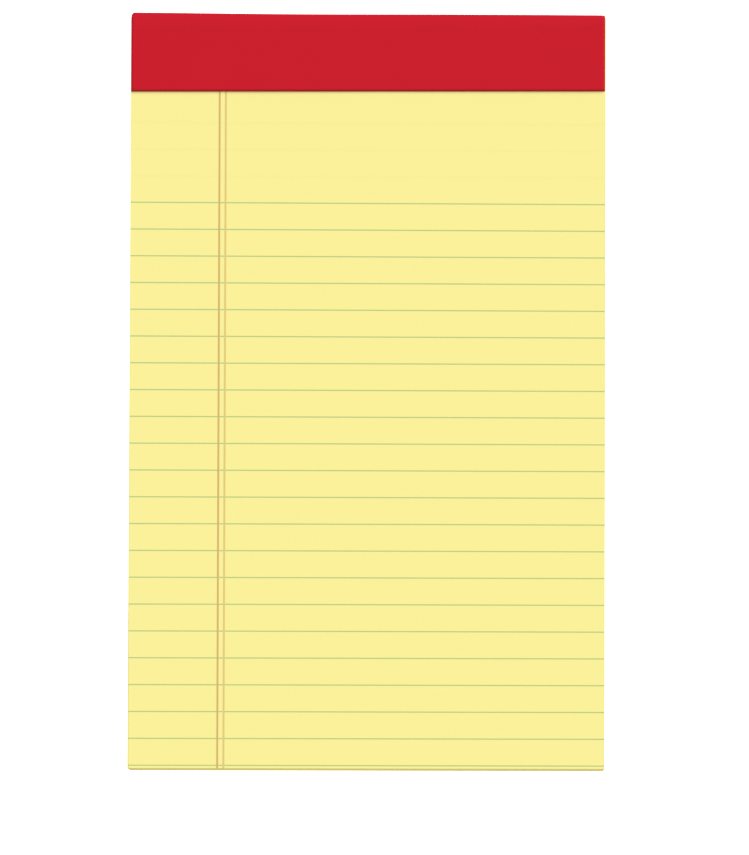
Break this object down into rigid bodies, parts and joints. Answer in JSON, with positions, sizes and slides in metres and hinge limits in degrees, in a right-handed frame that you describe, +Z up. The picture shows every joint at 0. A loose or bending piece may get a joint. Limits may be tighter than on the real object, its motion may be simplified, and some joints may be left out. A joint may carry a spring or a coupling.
{
  "type": "legal pad",
  "caption": "Top-bound writing pad: yellow ruled sheets with a left-hand margin, a stiff card back, and red tape folded over the stapled head.",
  "frame": {"origin": "under the middle of the pad, on the surface it lies on", "axes": "+X across the ruled face to the reader's right, +Y towards the bound head, +Z up out of the ruled face"},
  "size_m": [0.127, 0.2022, 0.006],
  "materials": {
    "sheets": "matt uncoated yellow writing paper",
    "board": "unbleached grey-brown board with flecks",
    "tape": "smooth red binding tape with a slight sheen",
    "wire": "galvanised round wire"
  },
  "bodies": {
    "root": {"page_block": "sheets", "backing_board": "board", "binding_tape": "tape", "binding_staples": "wire"}
  },
  "joints": []
}
